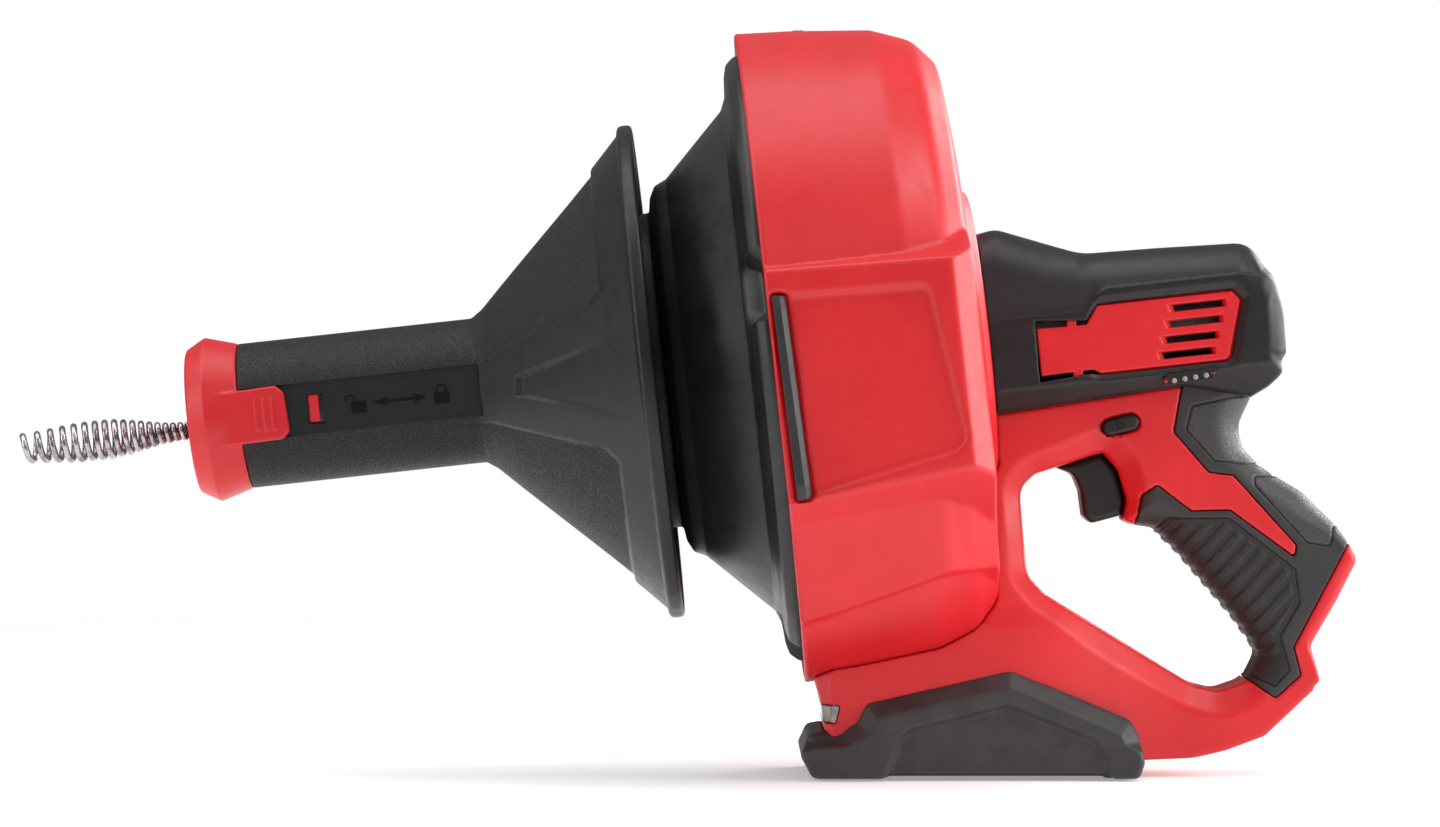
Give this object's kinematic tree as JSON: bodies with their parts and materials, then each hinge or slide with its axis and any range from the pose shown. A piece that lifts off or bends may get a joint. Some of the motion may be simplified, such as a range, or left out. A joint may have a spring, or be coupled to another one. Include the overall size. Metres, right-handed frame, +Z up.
{
  "type": "drain snake machine",
  "caption": "Cordless hand-held drain snake: shrouded cable drum, sliding funnel grip with cable lock, loop handle with trigger, rubber foot.",
  "frame": {"origin": "centre of the foot's flat underside, which rests on the bench", "axes": "+Z up, -X towards the nose, +Y towards the tool's right side; the drum's axis lies in the XZ plane and rises 6.25 degrees towards the motor"},
  "size_m": [0.4756, 0.2352, 0.2642],
  "materials": {
    "red_plastic": "satin moulded, fine texture",
    "black_plastic": "satin moulded",
    "textured_black": "pebbled grip panels, smooth ribs",
    "drum_plastic": "satin moulded",
    "overmould": "soft-touch, matt",
    "rubber": "matt moulded",
    "steel": "machined",
    "dark_steel": "blackened",
    "cable_steel": "drawn spring wire",
    "brass": "plain",
    "inner_plastic": "moulded",
    "board": "printed circuit board",
    "lens": "clear moulded lens"
  },
  "bodies": {
    "housing": {"shroud_left": "red_plastic", "shroud_right": "red_plastic", "side_bumper_left": "rubber", "side_bumper_right": "rubber", "motor_cover_left": "black_plastic", "motor_cover_right": "black_plastic", "cover_screw_1": "dark_steel", "cover_screw_2": "dark_steel", "cover_screw_3": "dark_steel", "vent_panel_left": "red_plastic", "vent_panel_right": "red_plastic", "fuel_gauge_panel": "black_plastic", "handle_frame_left": "red_plastic", "handle_frame_right": "red_plastic", "frame_screw_1": "dark_steel", "frame_screw_2": "dark_steel", "frame_screw_3": "dark_steel", "frame_screw_4": "dark_steel", "frame_screw_5": "dark_steel", "grip_overmould_left": "overmould", "grip_overmould_right": "overmould", "switch_module": "inner_plastic", "battery_socket": "inner_plastic", "terminal_block": "brass", "foot_boot": "rubber", "worklight_lens": "lens", "worklight_board": "board", "control_board": "board", "gearbox_housing": "dark_steel", "spindle_bearing": "steel", "ring_gear": "steel", "motor_front_plate": "dark_steel", "motor_can": "dark_steel", "motor_magnets": "inner_plastic"},
    "drum": {"drum_front": "drum_plastic", "drum_rear": "drum_plastic", "drum_neck_tube": "dark_steel", "drive_spindle": "steel", "spindle_nut": "steel", "planet_carrier": "steel", "snake_cable": "cable_steel", "auger_tip": "cable_steel"},
    "rotor": {"motor_rotor": "brass", "sun_gear": "steel"},
    "planet_1": {"planet_gear_1": "steel"},
    "planet_2": {"planet_gear_2": "steel"},
    "planet_3": {"planet_gear_3": "steel"},
    "jaw_1": {"cable_jaw_1": "steel"},
    "jaw_2": {"cable_jaw_2": "steel"},
    "jaw_3": {"cable_jaw_3": "steel"},
    "cone": {"lock_cone": "steel"},
    "collar": {"grip_bush": "inner_plastic"},
    "front_grip": {"front_grip": "textured_black", "nose_cap": "red_plastic", "lock_indicator": "red_plastic", "grip_bearing": "steel"},
    "trigger": {"trigger": "black_plastic"},
    "direction_switch": {"direction_switch": "black_plastic"}
  },
  "joints": [
    {"name": "drum_spin", "type": "hinge", "parent": "housing", "child": "drum", "pos_m": [-0.0718, 0, 0.1476], "axis": [0.9941, 0, 0.1089], "continuous": true},
    {"name": "motor_spin", "type": "hinge", "parent": "housing", "child": "rotor", "pos_m": [0.04749, 0, 0.16066], "axis": [0.9941, 0, 0.1089], "continuous": true},
    {"name": "grip_swivel", "type": "hinge", "parent": "housing", "child": "collar", "pos_m": [-0.205, 0, 0.13301], "axis": [0.9941, 0, 0.1089], "continuous": true},
    {"name": "grip_slide", "type": "slide", "parent": "collar", "child": "front_grip", "axis": [0.9941, 0, 0.1089], "range_m": [0, 0.018]},
    {"name": "cone_slide", "type": "slide", "parent": "drum", "child": "cone", "axis": [0.9941, 0, 0.1089], "range_m": [0, 0.018]},
    {"name": "planet_1_spin", "type": "hinge", "parent": "drum", "child": "planet_1", "pos_m": [0.02462, 0.012, 0.15816], "axis": [0.9941, 0, 0.1089], "continuous": true},
    {"name": "planet_2_spin", "type": "hinge", "parent": "drum", "child": "planet_2", "pos_m": [0.02349, -0.006, 0.16849], "axis": [0.9941, 0, 0.1089], "continuous": true},
    {"name": "planet_3_spin", "type": "hinge", "parent": "drum", "child": "planet_3", "pos_m": [0.02576, -0.006, 0.14783], "axis": [0.9941, 0, 0.1089], "continuous": true},
    {"name": "jaw_1_slide", "type": "slide", "parent": "drum", "child": "jaw_1", "axis": [0.1089, 0, -0.9941], "range_m": [0, 0.002]},
    {"name": "jaw_2_slide", "type": "slide", "parent": "drum", "child": "jaw_2", "axis": [-0.0544, 0.866, 0.497], "range_m": [0, 0.002]},
    {"name": "jaw_3_slide", "type": "slide", "parent": "drum", "child": "jaw_3", "axis": [-0.0544, -0.866, 0.497], "range_m": [0, 0.002]},
    {"name": "trigger_pull", "type": "slide", "parent": "housing", "child": "trigger", "axis": [0.9511, 0, 0.309], "range_m": [0, 0.007], "stiffness_N_per_m": 600, "springref_m": -0.003},
    {"name": "direction_shift", "type": "slide", "parent": "housing", "child": "direction_switch", "axis": [0, 1, 0], "range_m": [-0.003, 0.003]}
  ],
  "couplings": [
    {"joint": "motor_spin", "follows": "drum_spin", "ratio": 5},
    {"joint": "planet_1_spin", "follows": "drum_spin", "ratio": -2.6667},
    {"joint": "planet_2_spin", "follows": "drum_spin", "ratio": -2.6667},
    {"joint": "planet_3_spin", "follows": "drum_spin", "ratio": -2.6667},
    {"joint": "cone_slide", "follows": "grip_slide", "ratio": 1},
    {"joint": "jaw_1_slide", "follows": "grip_slide", "ratio": 0.11111},
    {"joint": "jaw_2_slide", "follows": "grip_slide", "ratio": 0.11111},
    {"joint": "jaw_3_slide", "follows": "grip_slide", "ratio": 0.11111}
  ]
}
